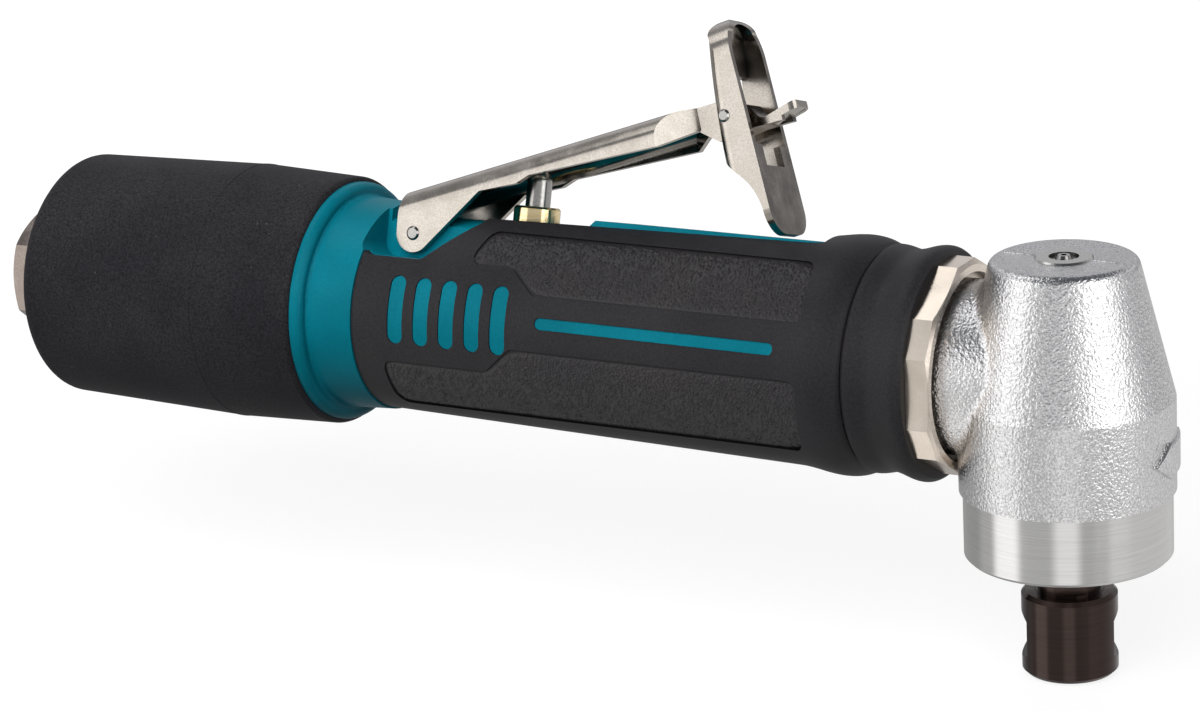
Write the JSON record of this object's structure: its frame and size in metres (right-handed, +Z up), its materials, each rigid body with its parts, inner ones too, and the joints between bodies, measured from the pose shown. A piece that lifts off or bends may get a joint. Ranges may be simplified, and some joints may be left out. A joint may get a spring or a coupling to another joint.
{
  "type": "right angle die grinder",
  "caption": "Air powered right angle die grinder with a rubber grip, steel lock-off throttle lever, aluminium angle head and collet",
  "frame": {"origin": "centre of the collet mouth, where the tool shank goes in", "axes": "+Z up along the spindle away from the collet mouth, +X from the air inlet towards the head, +Y to the left seen from the inlet with the collet down"},
  "size_m": [0.2327, 0.048, 0.1081],
  "materials": {
    "black_composite": "moulded matte, faint scuffs",
    "teal_composite": "moulded satin",
    "grip_rubber": "moulded, pebbled panels",
    "blasted_aluminium": "shot blasted casting",
    "turned_aluminium": "fine turned",
    "nickel_steel": "nickel plated",
    "stainless_sheet": "tumbled and polished",
    "black_oxide_steel": "black oxide",
    "bright_steel": "ground",
    "inlet_steel": "turned and oiled",
    "zinc_steel": "zinc plated",
    "bearing_ball_steel": "polished",
    "brass": "turned",
    "seal_rubber": "moulded",
    "grey_felt": "needled",
    "vane_composite": "resin bonded cloth",
    "cast_iron_grey": "machined"
  },
  "bodies": {
    "housing": {"inlet_bushing": "inlet_steel", "inlet_screen": "bright_steel", "inlet_gasket": "seal_rubber", "silencer_cover": "black_composite", "silencer_felt": "grey_felt", "motor_housing": "teal_composite", "grip_sleeve": "grip_rubber", "front_collar": "grip_rubber", "lock_ring": "nickel_steel", "angle_head": "blasted_aluminium", "bearing_cap": "turned_aluminium", "shaft_seal": "seal_rubber", "bearing_retainer": "black_oxide_steel", "head_plug": "zinc_steel", "grease_fitting": "bright_steel", "valve_bushing": "brass", "valve_seal": "seal_rubber", "valve_spring": "bright_steel", "motor_cylinder": "cast_iron_grey", "rear_end_plate": "cast_iron_grey", "front_end_plate": "cast_iron_grey", "lever_pivot_pin": "bright_steel", "rear_bearing_outer_ring": "bright_steel", "front_bearing_outer_ring": "bright_steel", "pinion_bearing_outer_ring": "bright_steel", "upper_bearing_outer_ring": "bright_steel", "lower_bearing_outer_ring": "bright_steel"},
    "lever": {"throttle_lever": "stainless_sheet", "lock_pin": "bright_steel", "lock_spring": "bright_steel"},
    "lock": {"lock_tab": "stainless_sheet"},
    "valve": {"valve_pin": "bright_steel", "valve_poppet": "brass", "poppet_seal": "seal_rubber"},
    "rotor": {"rotor": "bright_steel", "rotor_vanes": "vane_composite", "bevel_pinion": "bright_steel", "pinion_screw": "black_oxide_steel", "rear_bearing_inner_ring": "bright_steel", "rear_bearing_balls": "bearing_ball_steel", "front_bearing_inner_ring": "bright_steel", "front_bearing_balls": "bearing_ball_steel", "pinion_bearing_inner_ring": "bright_steel", "pinion_bearing_balls": "bearing_ball_steel"},
    "spindle": {"spindle": "black_oxide_steel", "bevel_gear": "bright_steel", "gear_spacer": "bright_steel", "collet_insert": "bright_steel", "upper_bearing_inner_ring": "bright_steel", "upper_bearing_balls": "bearing_ball_steel", "lower_bearing_inner_ring": "bright_steel", "lower_bearing_balls": "bearing_ball_steel"},
    "collet_nut": {"collet_nut": "black_oxide_steel"}
  },
  "joints": [
    {"name": "lever_squeeze", "type": "hinge", "parent": "housing", "child": "lever", "pos_m": [-0.126, 0.00401, 0.0661], "axis": [0, 0.9563, -0.2924], "range_deg": [0, 8], "stiffness_Nm_per_rad": 3, "springref_deg": -5.73},
    {"name": "lock_tab_fold", "type": "hinge", "parent": "lever", "child": "lock", "pos_m": [-0.06588, 0.01158, 0.09088], "axis": [0, -0.9563, 0.2924], "range_deg": [0, 50]},
    {"name": "valve_stroke", "type": "slide", "parent": "housing", "child": "valve", "axis": [0, -0.2924, -0.9563], "range_m": [0, 0.00333], "deforming": ["valve_spring"]},
    {"name": "rotor_spin", "type": "hinge", "parent": "housing", "child": "rotor", "pos_m": [-0.06, 0, 0.053], "axis": [1, 0, 0], "continuous": true},
    {"name": "spindle_spin", "type": "hinge", "parent": "housing", "child": "spindle", "pos_m": [0, 0, 0.0242], "axis": [0, 0, 1], "continuous": true},
    {"name": "collet_nut_turn", "type": "hinge", "parent": "spindle", "child": "collet_nut", "pos_m": [0, 0, 0.007], "axis": [0, 0, 1], "range_deg": [0, 180]}
  ],
  "couplings": [
    {"joint": "lock_tab_fold", "follows": "lever_squeeze", "ratio": 6.2},
    {"joint": "valve_stroke", "follows": "lever_squeeze", "m_per_rad": 0.02311},
    {"joint": "spindle_spin", "follows": "rotor_spin", "ratio": -0.66667}
  ]
}
